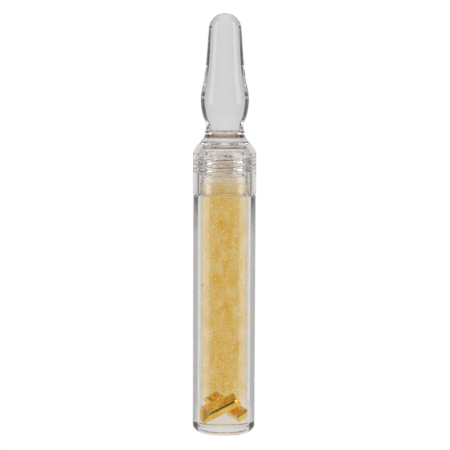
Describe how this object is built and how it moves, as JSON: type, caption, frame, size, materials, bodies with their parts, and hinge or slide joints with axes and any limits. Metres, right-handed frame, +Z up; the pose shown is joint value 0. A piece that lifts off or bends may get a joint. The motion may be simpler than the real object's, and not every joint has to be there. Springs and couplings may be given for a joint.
{
  "type": "gold sample vial",
  "caption": "Clear thick-walled screw-cap sample vial with a solid ampoule-shaped finial, holding small gold bars in a fluid of fine gold.",
  "frame": {"origin": "centre of the flat foot under the vial body", "axes": "+Z up the vial's axis from the foot to the tip of the finial; +X to the right and +Y away from the viewer when the two bars are seen crossing in an X"},
  "size_m": [0.0154, 0.0154, 0.1024],
  "materials": {
    "clear_plastic": "polished, water clear",
    "clear_liner": "soft, slightly cloudy clear",
    "gold_fluid": "clear fluid with suspended fine gold",
    "gold": "satin gold with brushed scratches"
  },
  "bodies": {
    "vial": {"vial_body": "clear_plastic", "carrier_fluid": "gold_fluid"},
    "liner": {"cap_liner": "clear_liner"},
    "cap": {"screw_cap": "clear_plastic", "ampoule_finial": "clear_plastic"},
    "bars": {"gold_bar_front": "gold", "gold_bar_rear": "gold"}
  },
  "joints": [
    {"name": "cap_rise", "type": "slide", "parent": "vial", "child": "liner", "axis": [0, 0, 1], "range_m": [0, 0.0128]},
    {"name": "cap_turn", "type": "hinge", "parent": "liner", "child": "cap", "pos_m": [0, 0, 0.0656], "axis": [0, 0, 1], "range_deg": [0, 2520]},
    {"name": "bars_slide", "type": "slide", "parent": "vial", "child": "bars", "axis": [0, 0, 1], "range_m": [0, 0.049], "deforming": ["carrier_fluid"]}
  ],
  "couplings": [
    {"joint": "cap_turn", "follows": "cap_rise", "rad_per_m": 3433.4}
  ]
}
